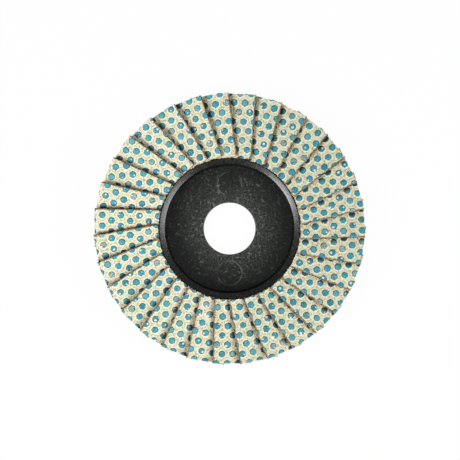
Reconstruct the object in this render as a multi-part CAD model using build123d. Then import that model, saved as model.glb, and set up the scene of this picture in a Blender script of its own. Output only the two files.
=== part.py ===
from build123d import *
import math
import os

# A 115 mm flap disc for an angle grinder.
#
# A moulded plastic backing plate carries a bed of resin, and a fan of straight-cut
# cloth flaps is set in that resin.  Each flap's leading edge stands in the resin close
# to the plate, and its free edge climbs over the next flap, clockwise as seen from the
# working face.  The working face of the cloth carries hexagonal abrasive dots.
#
# +Z points out of the working face and lies on the bore's axis.  Z = 0 is the back of
# the hub, where the grinder's flange bears.  Lengths are in millimetres, angles in
# degrees, and places round the disc are counted clockwise from +X.

# ---- the whole disc ----
disc_diameter = 115.0
bore_diameter = 22.23         # the standard arbor hole
flap_overhang = 3.0           # the flaps reach this far past the plate's rim

# ---- the backing plate ----
hub_floor = 3.2               # thickness of the hub's floor, which the nut clamps
hub_offset = 5.0              # from the hub's back up to the flange's back
hub_back_chamfer = 2.0
flange_thickness = 3.0
flange_rim_chamfer = 0.8      # on the flange's outer edges
flange_root_chamfer = 1.0     # where the flange's back meets the hub
recess_diameter = 54.4        # across the recess, at its floor
recess_draft = 1.0            # lean of the recess wall
collar_wall = 2.6             # from the recess, at its floor, to the collar's outside
collar_height = 3.4           # the rim, above the flange's front
collar_slope = 21.0           # fall of the rim's top towards the recess
bore_chamfer = 0.4            # on the working side only
pin_mark_diameter = 10.4      # marks that the mould's ejector pins leave
pin_mark_depth = 0.15

# ---- the resin ----
resin_margin = 2.0            # of bare flange outside the resin
resin_thickness = 1.9
resin_film = 0.4              # left between the flange and the flaps' lowest edges

# ---- the flaps ----
flap_count = 31
flap_width = 16.6             # from the leading edge to the free edge
flap_thickness = 1.0
flap_collar_gap = 0.25        # from the collar to the flap's inner end
free_edge_offset = 6.4        # from the radial line to the free edge, clockwise
lay_gap = 0.13                # between a flap and the dots under it, at the inner end
first_flap_angle = -3.1       # of the first flap's radial line
spacing_drift = 0.95          # how far the flaps' even spacing wanders round the disc
spacing_drift_at = 62.0       # where it is furthest ahead
lean_drift = 1.0              # how far the flaps' lean wanders round the disc
lean_drift_at = 36.0          # where their free edges turn furthest clockwise

# ---- the dots ----
dot_width = 2.6               # across the flats
dot_height = 0.35
dot_spacing = 4.7             # from dot to dot in a row, across the flap
dot_row_spacing = 3.95        # from row to row, along the flap
dot_row_radius = 50.9         # of one row on the first flap
dot_row_creep = 0.27          # outward, from each flap to the next
dot_row_drift = 1.2           # how far the rows wander in and out round the disc
dot_row_drift_at = 6.0        # where they are furthest out
dot_edge_distance = 2.6       # from that row's first dot to the first flap's free edge
dot_edge_drift = 2.45         # how far that distance wanders round the disc
dot_edge_drift_at = -6.0      # where it is longest
dot_least_show = 1.0          # a dot shows at least this much past the flap on top
dot_least_area = 1.4          # an offcut smaller than this is left out

# ---- what follows from them ----
bore_radius = bore_diameter / 2
plate_radius = disc_diameter / 2 - flap_overhang
resin_radius = plate_radius - resin_margin
recess_radius = recess_diameter / 2
collar_radius = recess_radius + collar_wall
flange_front = hub_offset + flange_thickness
rim_top = flange_front + collar_height
wall_draft = math.tan(math.radians(recess_draft))
rim_fall = math.tan(math.radians(collar_slope))
pin_mark_distance = (bore_radius + recess_radius) / 2

flap_inner = collar_radius + flap_collar_gap
flap_step = 360 / flap_count
inner_pitch = 2 * flap_inner * math.sin(math.radians(flap_step / 2))
layer = flap_thickness + dot_height + lay_gap
flap_tilt = math.degrees(math.asin(layer / inner_pitch))
flap_foreshortening = math.cos(math.radians(flap_tilt))
flap_outer = math.sqrt((disc_diameter / 2) ** 2 - free_edge_offset ** 2)
flap_length = flap_outer - flap_inner
flap_foot = flange_front + resin_film
leading_edge_offset = flap_width * flap_foreshortening - free_edge_offset

dot_corner_radius = dot_width / 2 / math.cos(math.radians(30))


def wander(amount, at, angle):
    """A value that swings once round the disc and is largest where angle is at."""
    return amount * math.cos(math.radians(angle - at))


def lathe(points, chamfers=()):
    """A solid turned about Z from (radius, height) points; chamfers lists (corner, length)."""
    section = make_face(Polyline(*points, close=True))
    for corner, length in chamfers:
        near = section.vertices().sort_by_distance((*points[corner], 0))[0]
        section = chamfer(near, length)
    return revolve(Plane.XZ * section, Axis.Z)


def backing_plate():
    """The moulded plate: hub floor, recess, sloping collar and flange."""
    # The recess wall leans out from its foot at the floor up to the low edge of the rim.
    level_wall = collar_wall + hub_floor * wall_draft
    lip_height = (rim_top - rim_fall * level_wall) / (1 - rim_fall * wall_draft)
    lip_radius = recess_radius + (lip_height - hub_floor) * wall_draft
    corners = [
        (bore_radius, 0),
        (collar_radius, 0),
        (collar_radius, hub_offset),
        (plate_radius, hub_offset),
        (plate_radius, flange_front),
        (collar_radius, flange_front),
        (collar_radius, rim_top),
        (lip_radius, lip_height),
        (recess_radius, hub_floor),
        (bore_radius, hub_floor),
    ]
    chamfers = [
        (1, hub_back_chamfer),
        (2, flange_root_chamfer),
        (3, flange_rim_chamfer),
        (4, flange_rim_chamfer),
        (9, bore_chamfer),
    ]
    plate = lathe(corners, chamfers)
    mark = Cylinder(pin_mark_diameter / 2, 2 * pin_mark_depth)
    for side in (1, -1):
        plate -= Pos(0, side * pin_mark_distance, hub_floor) * mark
    return plate


def flap_angle(number):
    """Where a flap's radial line lies round the disc."""
    even = first_flap_angle + number * flap_step
    return even + wander(spacing_drift, spacing_drift_at, even)


def flap_place(number):
    """A flap's own frame: X along it, Y from its free edge to its leading edge, at Y = 0."""
    angle = flap_angle(number)
    lean = wander(lean_drift, lean_drift_at, angle)
    outer_end = Pos(flap_outer, 0, 0)
    turned = Rot(0, 0, -angle) * outer_end * Rot(0, 0, -lean) * outer_end.inverse()
    return turned * Pos(0, leading_edge_offset, flap_foot) * Rot(-flap_tilt, 0, 0)


def flap_outline():
    """The flap's cut outline: the leading edge on X, the free edge at Y = -flap_width."""
    rectangle = Rectangle(flap_length, flap_width, align=(Align.MIN, Align.MAX))
    return Pos(flap_inner, 0) * rectangle


def flap(number):
    """One flap of coated cloth, in place."""
    return flap_place(number) * extrude(flap_outline(), flap_thickness)


def shows(along, across):
    """Whether a dot centred there reaches out from under the flap that lies on top."""
    step = math.radians(flap_step)
    cover = along * math.tan(step) - free_edge_offset / math.cos(step)
    near_side = leading_edge_offset + across * flap_foreshortening - dot_width / 2
    return near_side < cover - dot_least_show


def dots(number):
    """The dots on the open strip of one flap, in place: a lattice cut off at the flap's edges.

    The flaps are cut one after another from a band of coated cloth, so the lattice moves
    on by a flap's width each time, and its rows creep outwards where the band runs askew.
    """
    angle = flap_angle(number)
    row_radius = dot_row_radius + dot_row_creep * number
    row_radius += wander(dot_row_drift, dot_row_drift_at, angle)
    from_edge = dot_edge_distance + flap_width * number
    from_edge += wander(dot_edge_drift, dot_edge_drift_at, angle)
    first_row = math.floor((flap_inner - row_radius) / dot_row_spacing)
    last_row = math.ceil((flap_outer - row_radius) / dot_row_spacing)
    places = []
    for row in range(first_row, last_row + 1):
        along = row_radius + row * dot_row_spacing
        start = (from_edge + (row % 2) * dot_spacing / 2) % dot_spacing - dot_spacing
        for place in range(math.ceil(flap_width / dot_spacing) + 2):
            across = start + place * dot_spacing - flap_width
            if shows(along, across):
                places.append((along, across))
    hexagons = Sketch() + [Pos(*p) * RegularPolygon(dot_corner_radius, 6) for p in places]
    faces = [f for f in (hexagons & flap_outline()).faces() if f.area > dot_least_area]
    stand = flap_place(number) * Pos(0, 0, flap_thickness)
    return [stand * extrude(f, dot_height) for f in faces]


def resin_bed(flaps):
    """The ring of resin on the flange, with the flaps' leading edges standing in it."""
    top = flange_front + resin_thickness
    bed = lathe([
        (collar_radius, flange_front),
        (resin_radius, flange_front),
        (resin_radius, top),
        (collar_radius, top),
    ])
    for one in flaps:
        bed -= one
    return bed


def main():
    os.makedirs("parts", exist_ok=True)
    flaps = [flap(n) for n in range(flap_count)]
    nodes = {"backing_plate": backing_plate(), "resin_bed": resin_bed(flaps)}
    for n, one in enumerate(flaps):
        nodes[f"flap_{n + 1:02d}"] = one
    every_dot = [d for n in range(flap_count) for d in dots(n)]
    nodes["abrasive_dots"] = Compound(children=every_dot)
    for name, shape in nodes.items():
        export_step(shape, f"parts/{name}.step")


main()
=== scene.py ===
# %% [markdown]
# # A flap disc for an angle grinder
# The disc is a black plastic backing plate with a sunken hub, and a fan of straight-cut
# cloth flaps that are set in resin round it. Each flap's free edge lies over the next
# flap, clockwise, and its open strip carries round pads of blue abrasive grain.
#
# The measured solids come in first, as a fixed frame. The disc could be modelled by eye
# instead, but then nothing would be sure to fit. So every piece below is worked out on
# that frame, in metres, and nothing has to be moved into place afterwards.

# %% The measured frame
import math

import bpy
import numpy as np
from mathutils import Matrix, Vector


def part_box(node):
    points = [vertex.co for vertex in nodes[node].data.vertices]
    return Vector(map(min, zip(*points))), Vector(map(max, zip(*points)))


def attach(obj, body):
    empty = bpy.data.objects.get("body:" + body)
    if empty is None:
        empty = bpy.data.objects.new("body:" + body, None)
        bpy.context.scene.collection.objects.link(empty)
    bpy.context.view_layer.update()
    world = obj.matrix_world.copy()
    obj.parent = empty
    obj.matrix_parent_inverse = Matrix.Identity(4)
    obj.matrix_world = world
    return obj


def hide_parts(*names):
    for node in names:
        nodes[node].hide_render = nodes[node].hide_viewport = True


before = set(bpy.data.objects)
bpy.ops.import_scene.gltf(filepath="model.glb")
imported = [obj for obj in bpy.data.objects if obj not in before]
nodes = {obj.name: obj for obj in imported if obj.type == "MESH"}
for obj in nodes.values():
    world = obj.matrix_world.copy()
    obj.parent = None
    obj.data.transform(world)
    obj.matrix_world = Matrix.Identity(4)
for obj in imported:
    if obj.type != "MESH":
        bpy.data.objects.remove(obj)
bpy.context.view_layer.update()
flap_nodes = sorted(name for name in nodes if name.startswith("flap_"))
mm = 0.001
print(f"{len(nodes)} solids, {len(flap_nodes)} of them flaps")

# %% [markdown]
# ## Each flap's own directions
# A pattern on cloth follows the cloth, so every flap needs its own rulers: one along it,
# one across it and one straight up out of its face. They could be typed in again, but
# the solids already hold them. A flap's solid is a plain slab with eight corners, and
# the corners spread widest along the flap and least through the cloth. The singular
# vectors of the corners are therefore the three directions.

# %% Read the flaps' rulers from their solids
def corners_of(node):
    """The separate corner points of a solid, each once, to a ten-thousandth of a millimetre."""
    flat = np.empty(len(node.data.vertices) * 3)
    node.data.vertices.foreach_get("co", flat)
    return np.unique(flat.reshape(-1, 3).round(7), axis=0)


class Flap:
    """One flap's rulers: start is the lower corner where its inner end meets its free edge.

    Eight corners at plus and minus half a size each have a singular value of the size
    times the square root of two, which gives the three sizes.
    """

    def __init__(self, number, node):
        corners = corners_of(node)
        centre = corners.mean(axis=0)
        _, spread, rulers = np.linalg.svd(corners - centre)
        self.number = number
        self.length, self.width, self.thickness = spread / math.sqrt(2)
        self.along = rulers[0] * np.sign(rulers[0] @ centre)
        self.up = rulers[2] * np.sign(rulers[2][2])
        self.across = np.cross(self.up, self.along)
        half = self.length * self.along + self.width * self.across + self.thickness * self.up
        self.start = centre - half / 2
        self.tilt = math.acos(self.up[2])

    def point(self, u, v, w):
        """The place u along the flap, v in from its free edge and w above its underside."""
        steps = u[..., None] * self.along + v[..., None] * self.across
        return self.start + steps + w[..., None] * self.up


flaps = [Flap(n, nodes[name]) for n, name in enumerate(flap_nodes)]
first = flaps[0]
print(f"a flap is {first.length / mm:.2f} x {first.width / mm:.2f} x {first.thickness / mm:.2f} mm")
print(f"and climbs at {math.degrees(first.tilt):.1f} degrees")

# %% [markdown]
# ## Surfaces from whole arrays
# Every new piece is a surface made of rows and columns of points, joined by four-sided
# faces. It could be pulled into shape from Blender's own primitives, but a surface that
# is worked out with numpy has a formula that can be read and changed. Only the numbering
# of the faces is the same for all of them, so it is one helper.

# %% Faces between rows and columns
def grid_faces(rows, columns, wrap_rows=False, wrap_columns=False, start=0):
    """Four-sided faces between neighbours of a grid: (i, j), (i+1, j), (i+1, j+1), (i, j+1).

    A grid that wraps joins its last row or column to its first one again. The points'
    numbers begin at start.
    """
    i, j = np.meshgrid(
        np.arange(rows if wrap_rows else rows - 1),
        np.arange(columns if wrap_columns else columns - 1),
        indexing="ij",
    )
    next_i, next_j = (i + 1) % rows, (j + 1) % columns
    ring = [i * columns + j, next_i * columns + j, next_i * columns + next_j, i * columns + next_j]
    return start + np.stack(ring, axis=-1).reshape(-1, 4)


print(f"a grid of 3 by 4 points has {len(grid_faces(3, 4))} faces")

# %% [markdown]
# ### A finished piece
# Blender takes whole arrays through foreach_set, which is far quicker than adding points
# one at a time. The real edges are either cut or moulded, so a sharp edge is kept only
# where two faces turn by more than a given angle, and everything else is shaded smooth.

# %% A mesh object from arrays
sharp_turn = 38.0


def make_piece(name, points, face_sets, finishes, sharp=sharp_turn, places=None):
    """A mesh object from points and face_sets, a list of (faces, number of their finish).

    places maps an attribute's name to one vector per point, for patterns that follow the
    surface. The piece rides on the disc's one body.
    """
    mesh = bpy.data.meshes.new(name)
    corners = np.concatenate([faces.ravel() for faces, _ in face_sets])
    sizes = np.concatenate([np.full(len(faces), faces.shape[1]) for faces, _ in face_sets])
    numbers = np.concatenate([np.full(len(faces), number) for faces, number in face_sets])
    mesh.vertices.add(len(points))
    mesh.vertices.foreach_set("co", np.asarray(points, dtype=float).ravel())
    mesh.loops.add(len(corners))
    mesh.loops.foreach_set("vertex_index", corners.astype(np.int32))
    mesh.polygons.add(len(sizes))
    mesh.polygons.foreach_set("loop_start", (np.cumsum(sizes) - sizes).astype(np.int32))
    mesh.polygons.foreach_set("material_index", numbers.astype(np.int32))
    mesh.update(calc_edges=True)
    for finish in finishes:
        mesh.materials.append(finish)
    for label, vectors in (places or {}).items():
        layer = mesh.attributes.new(label, "FLOAT_VECTOR", "POINT")
        layer.data.foreach_set("vector", np.asarray(vectors, dtype=float).ravel())
    mesh.shade_smooth()
    mesh.set_sharp_from_angle(angle=math.radians(sharp))
    piece = bpy.data.objects.new(name, mesh)
    bpy.context.scene.collection.objects.link(piece)
    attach(piece, "root")
    return piece


print(f"edges that turn by more than {sharp_turn:.0f} degrees stay sharp")

# %% [markdown]
# ## Shader maths that reads as Python
# A finish is a formula: mix this colour into that one where a noise is high, and so on.
# Wired by hand, each plus or minus is a Math node with links of its own. The class below
# wraps a node's output instead, so that ordinary arithmetic adds those nodes, and a
# finish can be read as plain expressions.

# %% A node's output as a number
def give(socket, value):
    """Gives a socket its value: a signal is linked to it, and a number or colour is set."""
    if isinstance(value, Signal):
        socket.id_data.links.new(value.socket, socket)
    else:
        socket.default_value = value


def either_way(operation):
    """The two methods of one operator: the signal first, and the signal second."""
    def plain(self, other):
        return self.math(operation, self, other)

    def reflected(self, other):
        return self.math(operation, other, self)

    return plain, reflected


class Signal:
    """One output of a node, a number that Python's own arithmetic works on."""

    __add__, __radd__ = either_way("ADD")
    __sub__, __rsub__ = either_way("SUBTRACT")
    __mul__, __rmul__ = either_way("MULTIPLY")
    __truediv__, __rtruediv__ = either_way("DIVIDE")
    __pow__, __rpow__ = either_way("POWER")

    def __init__(self, socket):
        self.socket = socket

    def math(self, operation, *values):
        """A Math node of that operation on the values, which are numbers or signals."""
        node = self.socket.id_data.nodes.new("ShaderNodeMath")
        node.operation = operation
        for socket, value in zip(node.inputs, values):
            give(socket, value)
        return Signal(node.outputs[0])

    def __abs__(self):
        return self.math("ABSOLUTE", self)

    def part(self):
        """What is left of the number past its whole part."""
        return self.math("FRACT", self)

    def sine(self):
        """The sine of the number, taken as an angle in radians."""
        return self.math("SINE", self)

    def least(self, other):
        """The lower one of the two."""
        return self.math("MINIMUM", self, other)

    def rise(self, start, end):
        """0 up to start, 1 from end on, and an even climb between (or a fall, if end is lower)."""
        climb = (self - start) / (end - start)
        return climb.math("MAXIMUM", climb, 0.0).least(1.0)


print("signals take + - * / ** with a number on either side")

# %% [markdown]
# ### A finish
# Plastic, cloth, resin and grain are all one Principled shader here, with a formula for
# its colour, its gloss and its fine relief. This second class adds any node from its
# type, its inputs and its settings, and has short names for the few that are used again
# and again. Colours are written as on screen, because that is how they are judged.

# %% A material from formulas
class Finish:
    """A material with one Principled shader, whose steady values are set on its own sockets."""

    def __init__(self, name, **steady):
        self.material = bpy.data.materials.new(name)
        self.material.use_nodes = True
        self.tree = self.material.node_tree
        self.shader = self.tree.nodes["Principled BSDF"]
        for socket, value in steady.items():
            self.feed(socket.replace("_", " "), value)

    def feed(self, socket, value):
        """Gives one of the shader's sockets a signal or a steady value."""
        give(self.shader.inputs[socket], value)

    def node(self, kind, inputs=None, output=0, **settings):
        """One output of a new node: its settings are set first, then its inputs."""
        made = self.tree.nodes.new(kind)
        for setting, value in settings.items():
            setattr(made, setting, value)
        for socket, value in (inputs or {}).items():
            give(made.inputs[socket], value)
        return Signal(made.outputs[output])

    def noise(self, place, size, detail=2.0, roughness=0.5):
        """Smooth noise whose lumps are about size across; size is in metres on object places."""
        sockets = {"Vector": place, "Scale": 1 / size, "Detail": detail, "Roughness": roughness}
        return self.node("ShaderNodeTexNoise", sockets, "Fac")

    def mix(self, share, base, other):
        """The colour base where share is 0 and other where it is 1."""
        return self.node("ShaderNodeMix", {0: share, 6: base, 7: other}, 2, data_type="RGBA")

    def place(self):
        """The point on the piece, in metres."""
        return self.node("ShaderNodeTexCoord", output="Object")

    def split(self, vector):
        """The x, y and z of a vector, as three signals."""
        parted = self.node("ShaderNodeSeparateXYZ", {0: vector}).socket.node
        return [Signal(output) for output in parted.outputs]

    def follow(self, label):
        """The vector that a piece's points carry under that label, split into x, y and z."""
        return self.split(self.node("ShaderNodeAttribute", output="Vector", attribute_name=label))

    def relief(self, height, depth):
        """Bends the light over a height that runs from 0 to 1, as if it were depth metres deep."""
        sockets = {"Height": height, "Distance": depth, "Strength": 1.0}
        self.feed("Normal", self.node("ShaderNodeBump", sockets))

    def done(self):
        """The finished material, after saying how many nodes it took."""
        print(f"{self.material.name}: {len(self.tree.nodes)} nodes")
        return self.material


def paint(red, green, blue):
    """A colour written as on screen, from 0 to 255, as the linear numbers that a shader takes.

    Below 0.04045 the screen value is divided by 12.92; above it is (value + 0.055) / 1.055
    to the power 2.4.
    """
    shares = np.array([red, green, blue]) / 255
    linear = np.where(shares <= 0.04045, shares / 12.92, ((shares + 0.055) / 1.055) ** 2.4)
    return (*linear.tolist(), 1.0)


print(f"128 of 255 on screen is {paint(128, 128, 128)[0]:.3f} to a shader")

# %% [markdown]
# ## The backing plate
# The plate is one plastic moulding, round about its bore: a thick hub floor, a steep
# recess wall, a rim that slopes inwards and a flat flange behind the flaps. It could be
# cut together from cylinders and cones, but turning one outline about the axis gives the
# whole of it at once, as a lathe would. The outline is a table of corners, and each has
# its own round, since it is the small rounds that catch the light on a real moulding.

# %% The plate's corners
plate_low, plate_high = (np.array(corner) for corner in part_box("backing_plate"))
plate_radius = (plate_high[0] - plate_low[0]) / 2
rim_top = plate_high[2]
bore_radius = 11.115 * mm
hub_floor = 3.2 * mm
hub_back_chamfer = 2.0 * mm
flange_back = 5.0 * mm
flange_front = 8.0 * mm
recess_radius = 27.2 * mm
collar_radius = 29.8 * mm
rim_fall = math.tan(math.radians(21.0))
wall_lean = math.tan(math.radians(1.0))
lip_radius = recess_radius + (rim_top - collar_radius * rim_fall - hub_floor) * wall_lean
lip_radius /= 1 - rim_fall * wall_lean
lip_height = rim_top - (collar_radius - lip_radius) * rim_fall

plate_table = np.array([
    # radius, height, round
    (bore_radius, 0, 0.3 * mm),
    (collar_radius - hub_back_chamfer, 0, 1.0 * mm),
    (collar_radius, hub_back_chamfer, 1.0 * mm),
    (collar_radius, flange_back, 1.3 * mm),
    (plate_radius, flange_back, 1.1 * mm),
    (plate_radius, flange_front, 1.1 * mm),
    (collar_radius, flange_front, 0.15 * mm),
    (collar_radius, rim_top, 0.2 * mm),
    (lip_radius, lip_height, 0.25 * mm),
    (recess_radius, hub_floor, 0.25 * mm),
    (bore_radius, hub_floor, 0.45 * mm),
])
print(f"the rim's low edge is {lip_height / mm:.2f} mm high and {lip_radius / mm:.2f} mm out")

# %% [markdown]
# ### Rounded and turned
# Each corner is replaced by a short curve that starts and ends at its round's distance
# from it. Blender's bevel would do that too, but it rounds a whole mesh, where this
# rounds eleven points before they are turned into thousands.

# %% The plate's outline
def blended_outline(corners, rounds, steps=7):
    """A closed outline with every corner blended between two points at its round's distance.

    The blend is (1-t)^2 A + 2t(1-t) C + t^2 B, with C the corner and A and B the points
    on the edges before and after it.
    """
    before = np.roll(corners, 1, axis=0) - corners
    after = np.roll(corners, -1, axis=0) - corners
    reach = rounds[:, None]
    start = corners + before / np.linalg.norm(before, axis=1, keepdims=True) * reach
    end = corners + after / np.linalg.norm(after, axis=1, keepdims=True) * reach
    t = np.linspace(0, 1, steps)[None, :, None]
    curve = (1 - t) ** 2 * start[:, None] + 2 * t * (1 - t) * corners[:, None] + t**2 * end[:, None]
    return curve.reshape(-1, 2)


def turned(outline, steps):
    """The outline's points (r, z) turned about Z: (r cos a, r sin a, z) at even angles a."""
    angle = np.arange(steps) * 2 * math.pi / steps
    r, z = outline[:, 0], outline[:, 1]
    x, y = np.outer(np.cos(angle), r), np.outer(np.sin(angle), r)
    return np.stack([x, y, np.broadcast_to(z, x.shape)], axis=-1).reshape(-1, 3)


outline = blended_outline(plate_table[:, :2], plate_table[:, 2])
plate_steps = 288
print(f"the plate's outline has {len(outline)} points and is turned in {plate_steps} steps")

# %% [markdown]
# ### Fibre-filled black plastic
# Glass fibres show in such plastic as pale hairs and a fine mottle just under a satin
# skin. A hair is thin and winding, which is what the line where a noise crosses its
# middle value looks like. So the hairs are drawn as such lines, with no need to place
# any of them, and a second noise breaks them up. The floor grows hazier towards the
# bore, and its colour is painted paler there and darker out towards the recess wall, a
# painted shade of the wall. The mould's ejector pins left two round marks in it.

# %% The plate's finish
pin_mark_radius = 5.2 * mm
pin_mark_distance = (bore_radius + recess_radius) / 2


def black_plastic(name, sheen):
    """Colour: black, lifted by a fine mottle, by broken hairs, by the pin marks' edges and by a
    painted lightening towards the bore, a painted shade of the recess wall.
    """
    finish = Finish(name, Specular_IOR_Level=sheen)
    place = finish.place()
    x, y, z = finish.split(place)
    mottle = finish.noise(place, 0.8 * mm, 3.0, 0.7)
    cloud = finish.noise(place, 6.0 * mm)
    flow = cloud.rise(0.35, 0.65)
    hair_field = finish.noise(place, 2.0 * mm, 1.0, 0.4)
    breaks = finish.noise(place, 1.3 * mm, 0.0).rise(0.5, 0.6)
    hairs = abs(hair_field - 0.5).rise(0.03, 0.008) * breaks

    out = (x * x + y * y) ** 0.5
    near_bore = out.rise(recess_radius, bore_radius) ** 1.5
    on_floor = abs(z - hub_floor).rise(0.5 * mm, 0.2 * mm)
    from_mark = (x * x + (abs(y) - pin_mark_distance) ** 2.0) ** 0.5
    in_mark = from_mark.rise(pin_mark_radius + 0.1 * mm, pin_mark_radius - 0.1 * mm) * on_floor
    mark_edge = abs(from_mark - pin_mark_radius).rise(0.4 * mm, 0.1 * mm)
    mark_edge = mark_edge * cloud.rise(0.4, 0.6) * on_floor

    # Painted shade: the floor's colour falls off from the bore out to the recess wall, and the floor
    # sits a little darker than the rim.
    haze_and_wall_shade = near_bore * 0.7 + flow * 0.15 + 0.12 - on_floor * 0.08
    level = mottle.rise(0.44, 0.64) * haze_and_wall_shade * (1.0 - in_mark * 0.5)
    hazed_and_wall_shaded = finish.mix(level, paint(6, 9, 7), paint(88, 97, 88))
    hairiness = (near_bore * 0.45 + flow * 0.25 + 0.1) * on_floor
    fibred = finish.mix(hairs * hairiness, hazed_and_wall_shaded, paint(140, 146, 140))
    finish.feed("Base Color", finish.mix(mark_edge * 0.32, fibred, paint(130, 134, 130)))
    finish.feed("Roughness", mottle * 0.16 + near_bore * on_floor * 0.16 + 0.2)
    finish.relief(mottle * 0.7 + hairs * 0.2 - mark_edge * 0.5, 0.06 * mm)
    return finish.done()


plate_finishes = [
    black_plastic("fibre_filled_black_plastic", sheen=0.84),
    black_plastic("scuffed_recess_wall", sheen=0.1),
]

# %% [markdown]
# ### Make the plate
# The steep recess wall is rubbed dull and hardly shines, so it takes the second of the
# two finishes. A mask in the shader could tell wall from floor as well, but the sheen
# is a steady value of a material, and a ring of faces is easy to pick by its radius.

# %% The plate
plate_faces = grid_faces(plate_steps, len(outline), True, True)
face_middles = outline[plate_faces % len(outline)].mean(axis=1)
wall_radius = (recess_radius + lip_radius) / 2
on_wall = np.abs(face_middles[:, 0] - wall_radius) < 0.3 * mm
on_wall &= face_middles[:, 1] > hub_floor - 0.01 * mm
plate = make_piece(
    "moulded_plate",
    turned(outline, plate_steps),
    [(plate_faces[~on_wall], 0), (plate_faces[on_wall], 1)],
    plate_finishes,
    sharp=30.0,
)
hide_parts("backing_plate")
print(f"plate: {len(plate.data.polygons)} faces, {on_wall.sum()} of them on the recess wall")

# %% [markdown]
# ## The flaps
# A flap is stiff cloth with a baked resin coat: flat enough to stack, yet never quite
# flat. Towards its outer end, where nothing holds it, each one curls a little its own
# way. A cloth simulation suits soft fabric, and this is as stiff as card. So the curl is
# a formula that is nothing where the flap is held and grows outwards. The knife leaves a
# slightly wavering edge, which is smoothed noise.

# %% A flap's curl and the waver of its cuts
rng = np.random.default_rng(31)
curl_reach = 0.42 * mm
ripple_reach = 0.1 * mm


def lift(flap, u, v):
    """How far the flap's face stands off its flat plane.

    With s the share along it and t the share in from the free edge, a curl grows as
    s^2 (1-t)^1.5, and a ripple of s (1-t) sin(2 pi (1.6 s + 0.37 n)) runs along the free
    edge. Two sines of the flap's number n make each flap's own curl, up or down.
    """
    n = flap.number
    s, t = u / flap.length, v / flap.width
    own = 0.75 * math.sin(2.3 * n + 0.7) + 0.25 * math.sin(5.1 * n + 2.0)
    free = np.clip(1 - t, 0, 1)
    curl = curl_reach * own * s**2 * free**1.5
    ripple = ripple_reach * np.sin(2 * math.pi * (1.6 * s + 0.37 * n)) * free * s
    return curl + ripple


def waver(count, reach):
    """A wandering line of count values within reach: noise smoothed over its neighbours."""
    rough = rng.uniform(-1, 1, count)
    smooth = np.convolve(np.pad(rough, 2, mode="edge"), [0.15, 0.25, 0.3, 0.25, 0.15], mode="valid")
    return smooth * reach


curled = [lift(flap, np.array(flap.length), np.array(0.0)) / mm for flap in flaps]
print(f"the outer corners stand off by {min(curled):.2f} to {max(curled):.2f} mm")

# %% [markdown]
# ### Round the rim
# A flap's cut edge joins the grid above to the grid below, all the way round. Blender's
# Solidify modifier makes such walls, but only as one flat band. Walking round the rim by
# number gives loops of points, and a wall can have as many bands as it has loops to join.

# %% Loops and bands
def rim_loop(rows, columns):
    """Rows and columns of a grid's rim, once round: the free edge out, and the others back."""
    last_row, last_column = rows - 1, columns - 1
    i = np.concatenate([
        np.arange(last_row), np.full(last_column, last_row),
        np.arange(last_row, 0, -1), np.zeros(last_column, dtype=int),
    ])
    j = np.concatenate([
        np.zeros(last_row, dtype=int), np.arange(last_column),
        np.full(last_row, last_column), np.arange(last_column, 0, -1),
    ])
    return i, j


def band(low, high):
    """Four-sided faces between two closed loops of point numbers."""
    return np.stack([low, np.roll(low, -1), np.roll(high, -1), high], axis=1)


print(f"the rim of a grid of 3 by 4 points has {len(rim_loop(3, 4)[0])} of them")

# %% [markdown]
# ### One flap as a closed slab
# The face, the back and the cut edges have three different finishes, so each gets faces
# of its own: a grid above, a grid below, and a wall of two bands between them. The
# middle line of that wall is pushed out unevenly, since a cut through cloth is fuzzy,
# and bump alone would leave its outline straight. At the inner end, beside the plate's
# collar, the cloth is torn into small teeth.

# %% The flap's mesh
grid_step = 0.5 * mm
cut_waver = 0.16 * mm
outer_trim = 0.6 * cut_waver             # the outer cut is drawn in by this
inner_teeth = (-0.198 * mm, 0.27 * mm)   # how far the torn inner end strays in and out
edge_fade = 8                            # the power at which a cut's waver dies away
fuzz_reach = 0.34 * mm
outer_fuzz = 0.35                        # the outer cut's, as a share of the free edge's


def flap_mesh(flap):
    """Points and faces of one flap, and each point's place (u, v, lift) on it."""
    rows = int(flap.length / grid_step) + 1
    columns = int(flap.width / grid_step) + 1
    u, v = np.meshgrid(
        np.linspace(0, flap.length, rows), np.linspace(0, flap.width, columns), indexing="ij"
    )
    outer_cut = waver(columns, cut_waver) - outer_trim
    u = u + (u / flap.length) ** edge_fade * outer_cut
    inner_cut = rng.uniform(*inner_teeth, columns)
    u = u + (1 - u / flap.length) ** edge_fade * inner_cut
    free_cut = waver(rows, cut_waver)[:, None]
    v = v + (1 - v / flap.width) ** edge_fade * free_cut
    stand = lift(flap, u, v)
    above = flap.point(u, v, flap.thickness + stand)
    below = flap.point(u, v, stand)

    i, j = rim_loop(rows, columns)
    at_outer_end = i == rows - 1
    fuzz = np.where(j == 0, 1.0, np.where(at_outer_end, outer_fuzz, 0.0))
    push = rng.uniform(0.1, 1.0, len(i)) * fuzz_reach * fuzz
    way = np.where(at_outer_end[:, None], flap.along, -flap.across)
    middle = (above[i, j] + below[i, j]) / 2 + way * push[:, None]

    count = rows * columns
    top_loop, low_loop = i * columns + j, count + i * columns + j
    middle_loop = 2 * count + np.arange(len(i))
    top = grid_faces(rows, columns)
    bottom = grid_faces(rows, columns, start=count)[:, ::-1]
    walls = np.concatenate([band(middle_loop, top_loop), band(low_loop, middle_loop)])
    ruler = np.stack([u, v, stand], axis=-1)
    places = np.concatenate([ruler.reshape(-1, 3), ruler.reshape(-1, 3), ruler[i, j]])
    points = np.concatenate([above.reshape(-1, 3), below.reshape(-1, 3), middle])
    return points, [(top, 0), (walls, 1), (bottom, 2)], places


sample_points, _, _ = flap_mesh(first)
print(f"a flap's mesh has {len(sample_points)} points")

# %% [markdown]
# ## Where the pads lie
# The pads are pressed onto a wide web of cloth in staggered rows, and the flaps are then
# cut from the web one after another. So the rows run on from flap to flap: each flap's
# pattern is moved on by a flap's width, and its rows creep outwards a little because
# the web runs slightly askew. A table of hundreds of places would do the same, but the
# few sizes below, the same as the solids', give every one of them.

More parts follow.
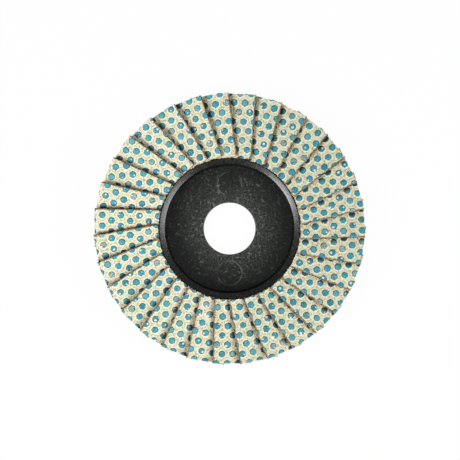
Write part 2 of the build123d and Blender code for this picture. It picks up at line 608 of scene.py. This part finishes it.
# %% The web's pattern, flap by flap
pad_radius = 1.42 * mm
pad_height = 0.35 * mm
pad_spacing = 4.7 * mm
row_spacing = 3.95 * mm
row_radius = 50.9 * mm
row_creep = 0.27 * mm
row_drift, row_drift_at = 1.2 * mm, math.radians(6.0)
edge_distance = 2.6 * mm
edge_drift, edge_drift_at = 2.45 * mm, math.radians(-6.0)
free_edge_offset = 6.4 * mm


def pattern_start(flap):
    """(u, v) of one pad of the pattern, and the radius of the flap's inner end.

    The flap's radial line meets its outer end at free_edge_offset / cos(tilt) from the
    free edge. That point's bearing, counted clockwise, is where the flap lies round the
    disc, and its distance from the axis less the flap's length is the inner end's radius.
    """
    at_line = free_edge_offset / math.cos(flap.tilt)
    x, y, _ = flap.point(np.array(flap.length), np.array(at_line), np.array(0.0))
    inner = math.hypot(x, y) - flap.length
    bearing = -math.atan2(y, x)
    rows_at = row_radius + row_creep * flap.number + row_drift * math.cos(bearing - row_drift_at)
    pads_at = edge_distance + flap.width * flap.number + edge_drift * math.cos(bearing - edge_drift_at)
    return rows_at - inner, pads_at, inner


inner_radii = [pattern_start(flap)[2] / mm for flap in flaps]
print(f"the flaps' inner ends lie {min(inner_radii):.2f} to {max(inner_radii):.2f} mm out")

# %% [markdown]
# ### Only the pads that show
# About half of each flap lies under the one above, and pads made there would only push
# through that. So the pattern is worked out for the whole flap and then thinned: what
# stays are the pads that reach out past the upper flap's edge by at least a little.

# %% The places of the pads
least_show = 0.3 * mm
end_reach, edge_reach = 0.6, 0.7     # of a pad's radius, past an end and past the free edge
flap_turn = 2 * math.pi / len(flaps)


def past_upper_edge(flap, u, v):
    """How far out from under the flap above (u, v) lies, square to that flap's free edge.

    Seen from above that edge is the line y = x tan(turn) - offset / cos(turn), in axes
    that follow this flap's radial line, and a unit of y is cos(turn) units off the line.
    """
    _, _, inner = pattern_start(flap)
    x, y = u + inner, v * math.cos(flap.tilt) - free_edge_offset
    return x * math.sin(flap_turn) - free_edge_offset - y * math.cos(flap_turn)


def pad_places(flap):
    """(u, v) of each pad of a flap that shows.

    Rows and pads lie at even steps from the pattern's start, and every second row is
    moved on by half a step.
    """
    u0, v0, _ = pattern_start(flap)
    rows = np.arange(math.floor(-u0 / row_spacing), math.ceil((flap.length - u0) / row_spacing) + 1)
    steps = np.arange(-1, math.ceil(flap.width / pad_spacing) + 1)
    u = np.repeat(u0 + rows * row_spacing, len(steps))
    start = (v0 + (rows % 2) * pad_spacing / 2) % pad_spacing
    v = (start[:, None] + steps * pad_spacing).ravel()
    kept = past_upper_edge(flap, u, v) > least_show - pad_radius
    kept &= v > -edge_reach * pad_radius
    kept &= (u > -end_reach * pad_radius) & (u < flap.length + end_reach * pad_radius)
    return u[kept], v[kept]


pad_count = sum(len(pad_places(flap)[0]) for flap in flaps)
print(f"{pad_count} pads show")

# %% [markdown]
# ### The coated face
# The face is cream, blotched with warmer and greener patches, with a paler collar of
# resin round each pad and dark pits between. The collar has to follow the pads. Painting
# it by hand would tie it to one layout, so the face carries the pattern's own
# coordinates instead, and the shader works out the distance to the nearest pad. The
# free edge is worn to bare yarn, and a warm brown painted shade lies along the edge of
# the flap above, where that flap's free edge shades this face.

# %% The coated face's finish
def nearest_pad(a, b):
    """Distance to the nearest pad, in metres, from pattern coordinates a and b.

    a counts pairs of rows and b counts pads, so pads lie at whole numbers of both and at
    halves of both. Each offset is taken to the nearest whole number and measured.
    """
    def offset(value, shift, size):
        return ((value + (0.5 - shift)).part() - 0.5) * size

    def distance(shift):
        du = offset(a, shift, 2 * row_spacing)
        dv = offset(b, shift, pad_spacing)
        return (du * du + dv * dv) ** 0.5

    return distance(0.0).least(distance(0.5))


def coated_face():
    """Cream under six layers: warm, green, web, specks, collars and pits, then painted shade and wear.
    """
    finish = Finish("cream_coated_cloth", Specular_IOR_Level=0.35)
    place = finish.place()
    a, b, past_edge = finish.follow("pattern")
    _, v, _ = finish.follow("ruler")
    blotch = finish.noise(place, 3.2 * mm).rise(0.3, 0.7)
    warm = finish.noise(place, 1.5 * mm, 1.0)
    grain = finish.noise(place, 0.8 * mm, 2.0, 0.7)
    pits = finish.noise(place, 0.62 * mm, 1.0)
    from_pad = nearest_pad(a, b)
    web = from_pad.rise(pad_radius + 0.55 * mm, pad_radius + 1.0 * mm)
    collar = from_pad.rise(pad_radius + 0.7 * mm, pad_radius + 0.3 * mm)

    cream = finish.mix(blotch, paint(243, 242, 204), paint(254, 255, 230))
    warmed = finish.mix(warm.rise(0.52, 0.7) * 0.5, cream, paint(240, 206, 164))
    greened = finish.mix(warm.rise(0.47, 0.32) * 0.7, warmed, paint(208, 222, 150))
    webbed = finish.mix(web * 0.14, greened, paint(222, 196, 134))
    specked = finish.mix(grain.rise(0.48, 0.64) * 0.65, webbed, paint(182, 156, 106))
    collared = finish.mix(collar * 0.85, specked, paint(254, 255, 236))
    pitted = finish.mix(pits.rise(0.6, 0.69) * 0.65, collared, paint(120, 98, 66))

    ragged = warm * (0.9 * mm) + pits * (0.5 * mm) - 0.45 * mm
    worn = (v - ragged).rise(0.25 * mm, 0.0)
    # Painted shade: a warm brown band darkens the face beside the free edge of the flap above.
    painted_edge_shade = (past_edge - ragged * 2.0).rise(1.2 * mm, 0.1 * mm) * grain.rise(0.44, 0.54)
    edge_shaded = finish.mix(painted_edge_shade * 0.45, pitted, paint(110, 78, 48))
    finish.feed("Base Color", finish.mix(worn * 0.65, edge_shaded, paint(84, 56, 36)))
    finish.feed("Roughness", grain * 0.3 + 0.45)
    finish.relief(grain * 0.6 + blotch * 0.2 + collar * 0.5, 0.09 * mm)
    return finish.done()


face_finish = coated_face()

# %% [markdown]
# ### The cut edge and the back
# The knife scorches the yarns, so the cut is brown and tan, reddish in places, and too
# fine for anything but noise. The back shows the bare weave, soaked in amber resin. It
# is regular, so it is made from two sets of sine waves at right angles, which follow
# the cloth because they are fed with the flap's own rulers.

# %% The finishes of the cut edge and the back
def cut_edge():
    """Scorched yarn ends: dark brown and tan by a fine noise, reddish in places."""
    finish = Finish("cut_cloth_edge", Roughness=0.85, Specular_IOR_Level=0.2)
    place = finish.place()
    yarn = finish.noise(place, 0.32 * mm, 2.0, 0.6)
    patch = finish.noise(place, 1.6 * mm, 1.0)
    pale = (yarn * 0.5 + patch * 0.5).rise(0.46, 0.56)
    base = finish.mix(pale, paint(52, 38, 26), paint(198, 168, 120))
    finish.feed("Base Color", finish.mix(patch.rise(0.48, 0.36) * 0.5, base, paint(120, 50, 30)))
    finish.relief(yarn, 0.12 * mm)
    return finish.done()


def cloth_back():
    """Amber-soaked weave: the product of two sine waves, one along u and one along v."""
    finish = Finish("amber_cloth_back", Roughness=0.7, Specular_IOR_Level=0.3)
    u, v, _ = finish.follow("ruler")
    per_thread = 2 * math.pi / (0.62 * mm)
    weave = (u * per_thread).sine() * (v * per_thread).sine() * 0.5 + 0.5
    stain = finish.noise(finish.place(), 4.0 * mm, 3.0, 0.6)
    base = finish.mix(stain.rise(0.3, 0.7), paint(132, 96, 52), paint(178, 142, 88))
    finish.feed("Base Color", finish.mix(weave * 0.35, base, paint(96, 68, 38)))
    finish.relief(weave, 0.12 * mm)
    return finish.done()


edge_finish = cut_edge()
back_finish = cloth_back()

# %% [markdown]
# ### Lay the flaps
# One mesh could be copied round the disc, but then all flaps would curl alike. They are
# made one by one instead, each from its own rulers. Each carries two sets of coordinates
# for its finishes: places in the web's pattern, and places along and across the flap.

# %% Make the flaps
for flap, name in zip(flaps, flap_nodes):
    points, face_sets, ruler = flap_mesh(flap)
    u0, v0, _ = pattern_start(flap)
    pattern = np.stack(
        [
            (ruler[:, 0] - u0) / (2 * row_spacing),
            (ruler[:, 1] - v0) / pad_spacing,
            past_upper_edge(flap, ruler[:, 0], ruler[:, 1]),
        ],
        axis=1,
    )
    cloth = make_piece(
        f"cloth_{name}", points, face_sets, [face_finish, edge_finish, back_finish],
        places={"pattern": pattern, "ruler": ruler},
    )
    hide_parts(name)
print(f"{len(flaps)} flaps laid")

# %% [markdown]
# ### Yarn ends
# The knife leaves the cloth's yarns standing out of the cut by a fraction of a
# millimetre. Hair particles could make them, but a formula gives a plain mesh that can
# be measured and exported. Each is a thin pointed sliver: three points sunk in the cut
# face and a tip outside it. They stand thickest along the free edge. Fewer stand out of
# the two ends, where those at the inner end fray over the rim of the plate.

# %% Yarn ends along the cuts
yarn_width = 0.16 * mm
yarn_depth = 0.15 * mm
whole, at_start, at_end = (0, 1), (0, 0), (1, 1)


def yarn_ends(flap, count, along, across, way, longest, high=(0.3, 0.95), rise=(-0.5, 0.1)):
    """Points of count slivers, four each: three in the cut face, then the tip.

    The roots lie at random shares of the flap's length, width and thickness, within the
    ranges given. A tip lies the square of a random number times the longest reach away,
    leaning sideways by a random part of that reach, and up by a part within rise.
    """
    u = rng.uniform(*along, count) * flap.length
    v = rng.uniform(*across, count) * flap.width
    w = rng.uniform(*high, count) * flap.thickness + lift(flap, u, v)
    root = flap.point(u, v, w)
    out = way[0] * flap.along + way[1] * flap.across
    side = np.cross(flap.up, out)
    reach = rng.uniform(0.15, 1.0, count) ** 2 * longest
    lean = out + rng.uniform(-0.7, 0.7, (count, 1)) * side + rng.uniform(*rise, (count, 1)) * flap.up
    tip = root + reach[:, None] * lean
    base = root - yarn_depth * out
    corners = [base - side * yarn_width / 2, base + side * yarn_width / 2, base + flap.up * yarn_width]
    return np.stack([*corners, tip], axis=1)


def sliver_faces(count):
    """Four triangles round each set of four points, facing out."""
    pattern = np.array([(0, 2, 1), (0, 1, 3), (1, 2, 3), (2, 0, 3)])
    return (np.arange(count)[:, None, None] * 4 + pattern).reshape(-1, 3)


def frayed(flap):
    """The slivers of one flap's free edge, its outer end and the high part of its inner end."""
    free_edge = yarn_ends(flap, 70, whole, at_start, (0, -1), 0.85 * mm)
    outer_end = yarn_ends(flap, 24, at_end, whole, (1, 0), 0.45 * mm)
    inner_end = yarn_ends(
        flap, 26, at_start, (0, 0.32), (-1, 0), 0.6 * mm, high=(0.7, 0.95), rise=(0, 0.3)
    )
    return np.concatenate([free_edge, outer_end, inner_end])


slivers = np.concatenate([frayed(flap) for flap in flaps])
make_piece(
    "yarn_ends", slivers.reshape(-1, 3), [(sliver_faces(len(slivers)), 0)], [edge_finish]
)
print(f"{len(slivers)} yarn ends")

# %% [markdown]
# ## The pads of grain
# A pad is a low cake of grain and binder: near round, with a soft shoulder and a flat
# top. A bevelled cylinder would have its shape but hundreds of faces, and there are
# hundreds of pads. Four rings of twelve points and a middle one are enough. All pads are
# worked out in one array, pressed onto their flap's own curl, and cut off straight where
# the knife went through them.

# %% The pads' shape
ring_shares = np.array([1.0, 1.0, 0.93, 0.72])
ring_heights = np.array([-0.25, 0.45, 0.86, 1.0])
pad_points = 12
size_stray = (-0.05, 0.05)       # of a pad's radius, and again of each point's
height_stray = (-0.12, 0.05)


def pads_on(flap):
    """Points of a flap's pads, with each point's place on its own pad.

    Ring k lies at its share of the radius r(a) = R (1 + 0.05 cos 6a) and its share of
    the height. What passes the flap's edges is held at them, which gives a cut wall.
    """
    centre_u, centre_v = pad_places(flap)
    count = len(centre_u)
    swell = 1 + rng.uniform(*size_stray, (count, 1, 1))
    angle = np.arange(pad_points) * 2 * math.pi / pad_points
    radius = pad_radius * (1 + 0.05 * np.cos(6 * angle)) * swell
    wobble = 1 + rng.uniform(*size_stray, (count, 1, pad_points))
    reach = radius * wobble * ring_shares[None, :, None]
    middle = np.zeros((count, 1))
    du = np.concatenate([(reach * np.cos(angle)).reshape(count, -1), middle], axis=1)
    dv = np.concatenate([(reach * np.sin(angle)).reshape(count, -1), middle], axis=1)
    share = np.append(np.repeat(ring_heights, pad_points), 1.0)
    u = np.clip(centre_u[:, None] + du, 0, flap.length)
    v = np.clip(centre_v[:, None] + dv, 0, flap.width)
    height = pad_height * (1 + rng.uniform(*height_stray, (count, 1)))
    w = flap.thickness + lift(flap, u, v) + share * height
    past_edge = past_upper_edge(flap, u, v)
    on_pad = np.stack([u - centre_u[:, None], v - centre_v[:, None], past_edge], axis=-1)
    return flap.point(u, v, w), on_pad


def pad_faces(count):
    """Faces of count pads: bands between rings, and a fan from the last ring to the middle."""
    rings = len(ring_shares)
    size = rings * pad_points + 1
    bands = grid_faces(rings, pad_points, wrap_columns=True)[:, ::-1]
    last = (rings - 1) * pad_points + np.arange(pad_points)
    fan = np.stack([last, np.roll(last, -1), np.full(pad_points, size - 1)], axis=1)
    starts = (np.arange(count) * size)[:, None, None]
    return (starts + bands).reshape(-1, 4), (starts + fan).reshape(-1, 3)


print(f"a pad takes {sum(len(faces) for faces in pad_faces(1))} faces")

# %% [markdown]
# ### Blue grain
# No two pads have quite the same blue: some are deeper, and most are greener towards
# their sides. Many have a pinhole or a chip that shows as a white fleck, which is partly
# the pinhole's own white and partly a painted glint, inside a painted shade of its hollow.
# A few are rubbed bare, all are darker at the shoulder, and all carry a painted shadow
# beside the flap above. A material for each pad would be slow to make and to change, so
# all share one. Each pad carries three random numbers that pick its blue, its depth and
# its fleck, and its own coordinates from its middle, so the fleck can sit at a random
# place on it.

# %% The pads' finish
def blue_grain():
    """Blue to teal by the pad's luck, green at its sides, dark at its shoulder, flecked white.

    The fleck is a blot round a place that the pad's luck picks, partly a pinhole and partly
    a painted glint, and a hollow with a painted shade lies about it. Beside the flap above,
    a painted shadow darkens the pad.
    """
    finish = Finish("blue_abrasive_grain", Specular_IOR_Level=0.5)
    place = finish.place()
    du, dv, past_edge = finish.follow("on_pad")
    hue, depth, chance = finish.follow("luck")
    grain = finish.noise(place, 0.6 * mm, 2.0, 0.7)
    patch = finish.noise(place, 0.9 * mm, 1.0)
    stray = (patch - 0.5) * (0.7 * mm)
    ragged = (du * du + dv * dv) ** 0.5 + stray
    shoulder = ragged.rise(0.66 * pad_radius, pad_radius)
    green_side = ragged.rise(0.3 * pad_radius, 0.8 * pad_radius) * patch.rise(0.45, 0.53)
    fleck_u = (hue - 0.5) * (1.3 * pad_radius)
    fleck_v = (depth - 0.5) * (1.3 * pad_radius)
    from_fleck = ((du - fleck_u) ** 2.0 + (dv - fleck_v) ** 2.0) ** 0.5
    fleck_size = (chance - 0.33) * (0.95 * mm)
    # Painted glint: the white fleck is partly a pinhole and partly a painted highlight.
    fleck = (fleck_size - from_fleck + stray).rise(0.0, 0.12 * mm)
    hollow = (fleck_size * 1.9 - from_fleck).rise(0.0, 0.3 * mm)
    bare = hue.rise(0.9, 0.97) * grain.rise(0.4, 0.55)

    blue = finish.mix(hue, paint(38, 154, 200), paint(42, 166, 184))
    deeper = finish.mix(depth.rise(0.5, 1.0) * 0.85, blue, paint(24, 112, 140))
    greener = finish.mix(green_side * 0.7, deeper, paint(58, 178, 142))
    paler = finish.mix(chance.rise(0.3, 0.0) * 0.45, greener, paint(140, 200, 206))
    mottled = finish.mix(grain.rise(0.5, 0.66) * 0.5, paler, paint(150, 210, 214))
    dimpled = finish.mix(grain.rise(0.45, 0.3) * 0.5, mottled, paint(20, 92, 112))
    rubbed = finish.mix(bare * 0.75, dimpled, paint(214, 208, 186))
    ringed = finish.mix(shoulder * 0.85, rubbed, paint(40, 94, 76))
    # Painted shade: the hollow round the fleck is darkened.
    hollow_shaded = finish.mix(hollow * 0.4, ringed, paint(44, 96, 118))
    flecked = finish.mix(fleck, hollow_shaded, paint(240, 244, 240))
    # Painted shadow: pads beside the free edge of the flap above are darkened.
    shaded = past_edge.rise(2.7 * mm, 1.0 * mm) * 0.9
    finish.feed("Base Color", finish.mix(shaded, flecked, paint(5, 34, 44)))
    finish.feed("Roughness", grain * 0.2 + 0.4)
    finish.relief(grain * 0.6 - hollow * 0.5, 0.07 * mm)
    return finish.done()


grain_finish = blue_grain()

# %% [markdown]
# ### Press the pads on
# All pads go into one mesh. As separate objects they would be slow to handle, and they
# have one finish in any case. What tells them apart is the luck that each one's points
# share.

# %% Make the pads
pad_sets = [pads_on(flap) for flap in flaps]
cakes, on_pad = (np.concatenate(sets) for sets in zip(*pad_sets))
luck = np.broadcast_to(rng.uniform(0, 1, (len(cakes), 1, 3)), cakes.shape)
bands, fans = pad_faces(len(cakes))
pads = make_piece(
    "grain_pads",
    cakes.reshape(-1, 3),
    [(bands, 0), (fans, 0)],
    [grain_finish],
    sharp=60.0,
    places={"on_pad": on_pad.reshape(-1, 3), "luck": luck.reshape(-1, 3)},
)
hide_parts("abrasive_dots")
print(f"{len(cakes)} pads of {cakes.shape[1]} points: {len(pads.data.polygons)} faces")

# %% [markdown]
# ## The resin
# The flaps stand in a bed of cured resin, which shows between their edges from the side.
# Its solid already has every flap's slot cut into it, so a new mesh would only copy it.
# It is kept as it is and only given a finish: cloudy amber, lumpy where it set.

# %% The resin's finish
def cured_resin():
    """Cloudy amber: two browns mixed by a lumpy noise, with a gloss that varies."""
    finish = Finish("cured_resin", Specular_IOR_Level=0.5)
    cloud = finish.noise(finish.place(), 1.6 * mm, 3.0, 0.6)
    amber = finish.mix(cloud.rise(0.35, 0.68), paint(92, 66, 38), paint(196, 172, 120))
    finish.feed("Base Color", amber)
    finish.feed("Roughness", cloud * 0.4 + 0.2)
    finish.relief(cloud, 0.4 * mm)
    return finish.done()


nodes["resin_bed"].data.materials.clear()
nodes["resin_bed"].data.materials.append(cured_resin())

# %% [markdown]
# ## The floor
# The disc lies on a plain white floor. Lit like any other thing, a white sheet turns
# grey and uneven under lamps, so to the camera, and in mirrors, it glows with its own
# white. A share of real shading stays mixed in, which keeps the disc's shadow.

# %% A floor that looks white
glow_share = 0.97
floor_half = 6.0


def rays(tree, *kinds):
    """1 for a ray of one of those kinds, and 0 for any other."""
    path = tree.nodes.new("ShaderNodeLightPath")
    share = Signal(path.outputs[kinds[0]])
    for kind in kinds[1:]:
        share = share + Signal(path.outputs[kind])
    return share.least(1.0)


def white_floor():
    """Mostly plain white as the camera sees it, with a small share of shaded white."""
    finish = Finish("white_floor", Base_Color=(0.95, 0.95, 0.95, 1.0), Roughness=0.9)
    seen = rays(finish.tree, "Is Camera Ray", "Is Glossy Ray", "Is Transmission Ray")
    glow = finish.node("ShaderNodeEmission", {"Color": (1, 1, 1, 1), "Strength": 1.0})
    shaded = Signal(finish.shader.outputs[0])
    blend = finish.node("ShaderNodeMixShader", {0: seen * glow_share, 1: shaded, 2: glow})
    give(finish.tree.nodes["Material Output"].inputs["Surface"], blend)
    return finish.done()


floor_mesh = bpy.data.meshes.new("floor")
floor_corners = floor_half * np.array([(-1, -1, 0), (1, -1, 0), (1, 1, 0), (-1, 1, 0)])
floor_mesh.from_pydata(floor_corners.tolist(), [], [(0, 1, 2, 3)])
floor_mesh.materials.append(white_floor())
floor = bpy.data.objects.new("floor", floor_mesh)
bpy.context.scene.collection.objects.link(floor)

# %% [markdown]
# ## The light
# Two soft boxes stand at the front left and at the right, not quite halfway up, with an
# even fill from all round. One lamp straight above would light every flap alike and hide
# their tilt, while from the side each free edge shows as a step. The room is white to
# the camera, as the floor is, but the glossy black plate mirrors only the dim fill,
# since a white room would turn it grey.

# %% Two soft boxes and the room
fill = 0.15


def soft_box(name, bearing, height, share, size, distance=0.9):
    """A square lamp aimed at the disc, from a bearing counted anticlockwise from +X.

    share is the part of full light that it gives a level surface. A lamp of power P at
    distance d and elevation e gives P sin e / (pi d^2), and full light is pi.
    """
    lamp = bpy.data.lights.new(name, "AREA")
    lamp.size = size
    e, b = math.radians(height), math.radians(bearing)
    lamp.energy = share * math.pi**2 * distance**2 / math.sin(e)
    rig = bpy.data.objects.new(name, lamp)
    rig.location = (
        distance * math.cos(b) * math.cos(e),
        distance * math.sin(b) * math.cos(e),
        distance * math.sin(e),
    )
    rig.rotation_euler = (math.pi / 2 - e, 0, b + math.pi / 2)
    bpy.context.scene.collection.objects.link(rig)
    print(f"{name}: {lamp.energy:.2f} W")


soft_box("soft_box_front_left", bearing=212.0, height=42.0, share=0.48, size=0.38)
soft_box("soft_box_right", bearing=340.0, height=42.0, share=0.37, size=0.48)

world = bpy.data.worlds.new("studio")
world.use_nodes = True
bpy.context.scene.world = world
background = world.node_tree.nodes["Background"]
background.inputs["Color"].default_value = (1, 1, 1, 1)
seen = rays(world.node_tree, "Is Camera Ray", "Is Transmission Ray")
give(background.inputs["Strength"], seen * (1 - fill) + fill)

# %% [markdown]
# ## The camera
# It looks straight down on the working face, a little off the disc's middle. From far
# away it would see no perspective at all, and from close by the raised flaps would look
# too large beside the sunken hub. So it hangs at 0.6 metres, and its lens follows from
# the width to be seen at the flaps' height: focal length = sensor width x distance /
# width seen.

# %% The camera over the disc
view_width = 194.6 * mm
view_height = 0.6
flap_level = 12.5 * mm
off_x, off_y = 0.17 * mm, -0.63 * mm
camera = bpy.data.cameras.new("camera")
camera.sensor_width = 36.0
camera.lens = camera.sensor_width * (view_height - flap_level) / view_width
camera.clip_start, camera.clip_end = 0.05, 10.0
camera_rig = bpy.data.objects.new("camera", camera)
camera_rig.location = (off_x, off_y, view_height)
bpy.context.scene.collection.objects.link(camera_rig)
bpy.context.scene.camera = camera_rig
bpy.context.scene.view_settings.view_transform = "Standard"
print(f"a lens of {camera.lens:.1f} mm")
